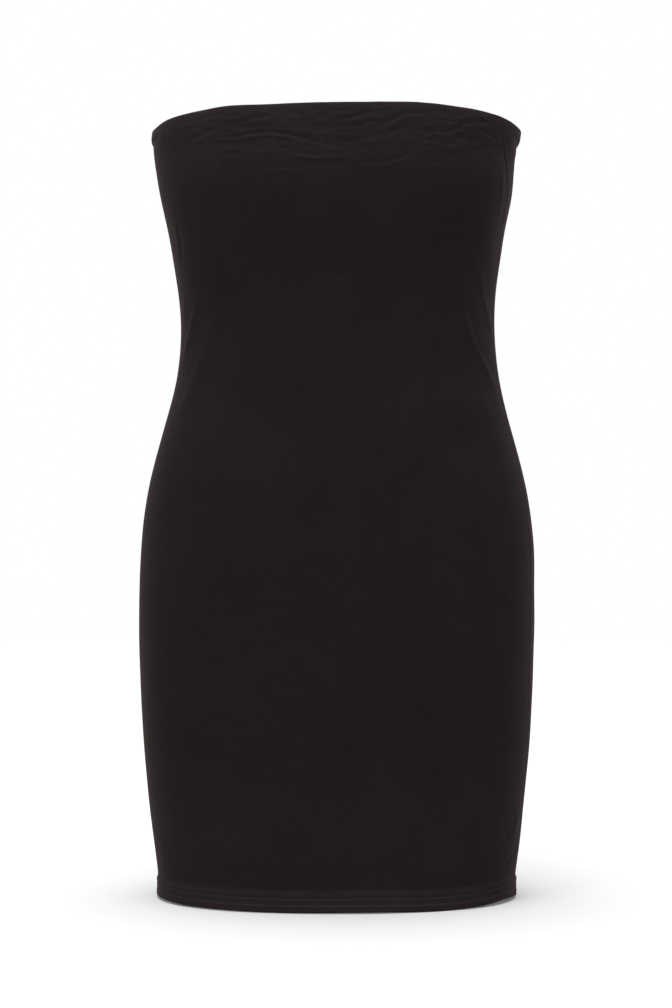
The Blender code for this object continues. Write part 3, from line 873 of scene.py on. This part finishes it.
def top_overlock(panel, seed):
    """Threads over the raw edge of the turned-in top: to and fro between a needle line and the edge."""
    count = stitch_count(panel, TOP_RAW, OVERLOCK_PITCH)
    needle = TOP_RAW - OVERLOCK_WIDTH
    return joined([
        zigzag(panel, count, (needle, INSIDE_TURN), (TOP_RAW + PAST_RAW, INSIDE_TURN - OVER_RAW)),
        stitch_row(panel, needle, OVERLOCK_PITCH, seed, inside=True)])


def seam_overlock(side):
    """Thread round both seam allowances of one side seam: a flat coil, from the needle line out to the
    raw edges, round them and back on the other face."""
    strips = {"front": allowance("front", side)[0], "back": allowance("back", -side)[0]}
    gap = unit(strips["back"] - strips["front"])
    half = ALLOWANCE_HALF + COIL_LIFT
    turns = round((SIDE_LENGTH - TOP_RAW - HEM_RAW) / OVERLOCK_PITCH)
    last = ALLOWANCE_ROWS - 1
    height = np.linspace(0, last, turns)
    corners, normals = [], []
    for panel, column, lead in COIL:
        way = -1 if panel == "front" else 1
        at = np.clip(height + lead * (height[1] - height[0]), 0, last)
        low = np.floor(at).astype(int)
        mix = (at - low)[:, None]
        line = strips[panel][:, column]
        point = line[low] * (1 - mix) + line[np.minimum(low + 1, last)] * mix
        corners.append(point + gap[low, column] * way * half)
        normals.append(gap[np.floor(height).astype(int), ALLOWANCE_COLUMNS // 2] * way + COIL_TILT)
    line, normal = (np.stack(grids, axis=1).reshape(1, -1, 3) for grids in (corners, normals))
    return tubes(line, normal, LOOPER)


# ---------------------------------------------- materials

WALE = 0.62 * MM                # width of one column of knit loops
COURSE = 0.50 * MM              # height of one row of loops
FUZZ = 0.7 * MM                 # size of the knit's fuzz, and its height beside the loops'
FUZZ_SHARE = 0.8
KNIT_HEIGHT = 0.12 * MM         # height of the loops, and how strongly it shows
KNIT_SHOWS = 0.35
BLOTCHES = (45 * MM, 6 * MM)    # sizes of the wide and the small unevenness of tone
JERSEY_DARK = (25.3, 22.4, 23.2)        # the tones between which it varies, as display colours
JERSEY_LIGHT = (41.3, 37.2, 38.3)
JERSEY_MATT = (0.62, 0.76)      # how rough the cloth is where it is dark and where it is light
JERSEY_SHINE = 0.022
JERSEY_SHEEN = 0.0325           # the glow of its short fibres at a glancing angle
SHEEN_MATT = 0.35
SHEEN_TINT = (255, 190, 185)
PAINTED_LIGHT_WARMTH = (1.22, 0.92, 0.88)    # what a painted light of 1 adds to each channel, as shares of the tone: the warm colour of the painted highlight

# Threads: darkest and lightest colour, and share of their tone that is left at the sides, as painted shade
TOP_THREAD = ((44, 38, 37), (60, 51, 50), 0.75)
HEM_THREAD = ((57, 50, 49), (80, 70, 68), 0.45)
THREAD_TWIST = 900              # scale of the slanting bands that stand for the thread's twist
THREAD_MATT = 0.55
THREAD_SHINE = 0.12
THREAD_SHADE_ASIDE = (70 * MM, 150 * MM)      # how far aside a row starts to darken as painted shade, and where it is darkest


class Nodes:
    """Short way of adding and joining the nodes of a material or world."""

    def __init__(self, owner):
        owner.use_nodes = True
        self.tree = owner.node_tree

    def put(self, node, inputs):
        """Fills a node's inputs: each is a constant, or another node's output that is joined to it."""
        for name, value in inputs.items():
            if isinstance(value, bpy.types.NodeSocket):
                self.tree.links.new(value, node.inputs[name])
            else:
                node.inputs[name].default_value = value

    def add(self, kind, inputs=None, **settings):
        """A new node with its settings and inputs. Returns its outputs."""
        node = self.tree.nodes.new(kind)
        for name, value in settings.items():
            setattr(node, name, value)
        self.put(node, inputs or {})
        return node.outputs

    def maths(self, operation, *values):
        """A maths node's result, from outputs or numbers."""
        return self.add("ShaderNodeMath", dict(enumerate(values)), operation=operation)[0]

    def blotches(self, place, size, detail=3.0, roughness=0.5):
        """Smooth noise of about the given size in metres."""
        return self.add("ShaderNodeTexNoise", {"Scale": 1 / size, "Detail": detail, "Roughness": roughness,
                                               "Vector": place})["Fac"]

    def between(self, share, low, high):
        """A number from low to high as share goes from 0 to 1."""
        return self.maths("ADD", self.maths("MULTIPLY", share, high - low), low)

    def mixed(self, share, first, second):
        """A colour from first to second as share goes from 0 to 1."""
        return self.add("ShaderNodeMix", {0: share, 6: first, 7: second}, data_type="RGBA")[2]

    def scaled(self, colour, share):
        """A colour times a number."""
        return self.add("ShaderNodeVectorMath", {0: colour, "Scale": share}, operation="SCALE")[0]


def new_material(name):
    """A material with its nodes and its shader."""
    material = bpy.data.materials.new(name)
    nodes = Nodes(material)
    return material, nodes, material.node_tree.nodes["Principled BSDF"]


def knit(nodes):
    """Height of the knit on the panel's own UV, in metres: rows of loops that lean to and fro, as sines,
    between the furrows of their columns."""
    cloth = nodes.add("ShaderNodeUVMap", uv_map="cloth")["UV"]
    apart = nodes.add("ShaderNodeSeparateXYZ", {"Vector": cloth})
    column = nodes.maths("MULTIPLY", apart["X"], 1 / WALE)
    row = nodes.maths("MULTIPLY", apart["Y"], 1 / COURSE)
    lean = nodes.maths("PINGPONG", column, 0.5)
    loop = nodes.maths("SINE", nodes.maths("MULTIPLY", nodes.maths("ADD", row, lean), 2 * np.pi))
    furrow = nodes.maths("ABSOLUTE", nodes.maths("SINE", nodes.maths("MULTIPLY", column, np.pi)))
    return nodes.maths("MULTIPLY", nodes.between(loop, 0.5, 1.0), furrow)


def jersey():
    """Fine black stretch jersey: knit loops and fuzz as a bump, a faint unevenness of colour and of matt
    finish, as a washed knit has, and painted light, a lighter, warmer tone where the piece is painted
    lighter: c + s c w, with s the painted light."""
    material, nodes, shader = new_material("black_stretch_jersey")
    place = nodes.add("ShaderNodeTexCoord")["Object"]
    wide = nodes.blotches(place, BLOTCHES[0])
    small = nodes.blotches(place, BLOTCHES[1], roughness=0.6)
    fuzz = nodes.blotches(place, FUZZ, detail=2.0)
    height = nodes.maths("ADD", knit(nodes), nodes.maths("MULTIPLY", fuzz, FUZZ_SHARE))
    bump = nodes.add("ShaderNodeBump", {"Strength": KNIT_SHOWS, "Distance": KNIT_HEIGHT, "Height": height})
    uneven = nodes.maths("ADD", nodes.maths("MULTIPLY", wide, 0.5), nodes.maths("MULTIPLY", small, 0.5))
    tint = nodes.mixed(uneven, linear(*JERSEY_DARK), linear(*JERSEY_LIGHT))
    # painted light: the tone is raised, and warmed, by the painted light each point carries
    painted_light_share = nodes.add("ShaderNodeAttribute", attribute_name="painted_light_share")["Fac"]
    colour = nodes.add("ShaderNodeVectorMath", {0: nodes.scaled(tint, painted_light_share), 1: PAINTED_LIGHT_WARMTH, 2: tint},
                       operation="MULTIPLY_ADD")[0]
    nodes.put(shader, {
        "Base Color": colour,
        "Normal": bump["Normal"],
        "Roughness": nodes.between(uneven, *JERSEY_MATT),
        "Specular IOR Level": JERSEY_SHINE,
        "Sheen Weight": JERSEY_SHEEN,
        "Sheen Roughness": SHEEN_MATT,
        "Sheen Tint": linear(*SHEEN_TINT),
    })
    return material


def sewing_thread(name, dark, light, aside):
    """Black polyester sewing thread: twisted, and a little lighter than the cloth. Aside is the share of its
    tone that is left at the sides, where the thread is darkened as painted shade."""
    material, nodes, shader = new_material(name)
    place = nodes.add("ShaderNodeTexCoord")["Object"]
    twist = nodes.add("ShaderNodeTexWave", {"Scale": THREAD_TWIST, "Distortion": 1.0, "Vector": place},
                      wave_type="BANDS", bands_direction="DIAGONAL")["Fac"]
    apart = nodes.add("ShaderNodeSeparateXYZ", {"Vector": place})
    # painted shade: the thread is painted darker towards the sides of the body
    left = nodes.add("ShaderNodeMapRange", {
        "Value": nodes.maths("ABSOLUTE", apart["X"]), "From Min": THREAD_SHADE_ASIDE[0],
        "From Max": THREAD_SHADE_ASIDE[1], "To Min": 1.0, "To Max": aside,
    }, interpolation_type="SMOOTHSTEP")["Result"]
    nodes.put(shader, {
        "Base Color": nodes.scaled(nodes.mixed(twist, linear(*dark), linear(*light)), left),
        "Roughness": THREAD_MATT,
        "Specular IOR Level": THREAD_SHINE,
    })
    return material


# ---------------------------------------------- the dress


def dress():
    """The two panels and their threads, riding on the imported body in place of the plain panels."""
    cloth = jersey()
    thread = sewing_thread("black_sewing_thread", *TOP_THREAD)
    hem_thread = sewing_thread("black_hem_thread", *HEM_THREAD)
    for seed, panel in enumerate(("front", "back"), start=1):
        piece = panel_mesh(panel, cloth)
        top = joined([
            stitch_row(panel, TOP_STITCH, TOP_PITCH, 10 + seed),
            top_overlock(panel, 20 + seed)])
        hem = joined([
            stitch_row(panel, SIDE_LENGTH - HEM_LOW, HEM_PITCH, 30 + seed),
            stitch_row(panel, SIDE_LENGTH - HEM_HIGH, HEM_PITCH, 40 + seed),
            cover_stitch(panel)])
        top_piece = make_piece(panel + "_top_stitching", top[0], [top[1]], thread)
        hem_piece = make_piece(panel + "_hem_stitching", hem[0], [hem[1]], hem_thread)
        for part in (piece, top_piece, hem_piece):
            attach(part, "root")
        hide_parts(panel + "_panel")
    for side, name in ((-1, "right"), (1, "left")):
        points, faces = seam_overlock(side)
        seam = make_piece("wearers_%s_seam_overlock" % name, points, [faces], thread)
        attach(seam, "root")


# ---------------------------------------------- floor, light and camera

FLOOR_GAP = 0.1 * MM            # between the hem's lowest point and the floor
FLOOR_REACH = 12.0
FLOOR_SEEN = 0.8                # how pale the floor is to the eye, and as it lights the dress
FLOOR_BOUNCE = 0.4
FLOOR_GLOW = 0.05               # what it glows of itself to the eye
ROOM_LIGHT = 0.38               # how brightly the surroundings light the dress
CEILING_LIGHT = 2.9             # broad soft light from above, with its spread and tilt in degrees
CEILING_SPREAD = 80
CEILING_TILT = (-2, -2.4, 0)
KEY_PLACE = (-0.42, -1.3, 1.7)  # large soft lamp, high in front, and what it points at
KEY_AIM = (0, 0, -0.25)
KEY_SIZE = 1.2
KEY_LIGHT = 11.0
CAMERA_LENS = 69.55             # in millimetres; the tilt is in degrees and the rest in metres
CAMERA_AWAY = 1.8063
CAMERA_HEIGHT = -0.4385
CAMERA_TILT = 2.9
CAMERA_FAR = 100


def plainly_seen(nodes):
    """1 for camera, mirror and glass rays and 0 for the light that surfaces scatter on each other."""
    path = nodes.add("ShaderNodeLightPath")
    return nodes.maths("MAXIMUM", path["Is Camera Ray"],
                       nodes.maths("MAXIMUM", path["Is Glossy Ray"], path["Is Transmission Ray"]))


def floor():
    """White floor just below the hem, a little lit of itself where it is plainly seen."""
    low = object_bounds()[0].z - FLOOR_GAP
    mesh = bpy.data.meshes.new("floor")
    corners = [(x * FLOOR_REACH, y * FLOOR_REACH, low) for x, y in ((-1, -1), (1, -1), (1, 1), (-1, 1))]
    mesh.from_pydata(corners, [], [(0, 1, 2, 3)])
    add_object("floor", mesh)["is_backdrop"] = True
    paper, nodes, shader = new_material("white_floor")
    mesh.materials.append(paper)
    nodes.tree.nodes.remove(shader)
    seen = plainly_seen(nodes)
    plain = nodes.add("ShaderNodeBsdfDiffuse", {"Color": nodes.between(seen, FLOOR_BOUNCE, FLOOR_SEEN)})[0]
    glow = nodes.add("ShaderNodeEmission", {"Strength": nodes.maths("MULTIPLY", seen, FLOOR_GLOW)})[0]
    both = nodes.add("ShaderNodeAddShader", {0: plain, 1: glow})[0]
    nodes.put(nodes.tree.nodes["Material Output"], {"Surface": both})


def room():
    """White surroundings, which light the dress less than they show."""
    world = bpy.data.worlds.new("white_room")
    bpy.context.scene.world = world
    nodes = Nodes(world)
    nodes.put(world.node_tree.nodes["Background"], {
        "Color": (1, 1, 1, 1),
        "Strength": nodes.between(plainly_seen(nodes), ROOM_LIGHT, 1.0),
    })


def add_lamp(name, kind, place, turn, **settings):
    """A lamp with its settings, at a place and turned."""
    data = bpy.data.lights.new(name, kind)
    for setting, value in settings.items():
        setattr(data, setting, value)
    lamp = add_object(name, data)
    lamp.location = place
    lamp.rotation_euler = turn


def lamps():
    """Broad soft light from the ceiling, and one large square lamp high in front."""
    add_lamp("ceiling", "SUN", (0, 0, 0), np.radians(CEILING_TILT),
             energy=CEILING_LIGHT, angle=np.radians(CEILING_SPREAD))
    way = Vector(KEY_AIM) - Vector(KEY_PLACE)
    add_lamp("high_key", "AREA", KEY_PLACE, way.to_track_quat("-Z", "Y").to_euler(),
             shape="SQUARE", size=KEY_SIZE, energy=KEY_LIGHT)


def camera():
    """Long lens in front of the dress, a little below its middle and tilted a little up."""
    data = bpy.data.cameras.new("camera")
    data.lens = CAMERA_LENS
    data.clip_end = CAMERA_FAR
    item = add_object("camera", data)
    item.location = (0, -CAMERA_AWAY, CAMERA_HEIGHT)
    item.rotation_euler = (np.radians(90 + CAMERA_TILT), 0, 0)
    bpy.context.scene.camera = item


camera()
dress()
floor()
room()
lamps()
bpy.context.scene.view_settings.view_transform = "Standard"
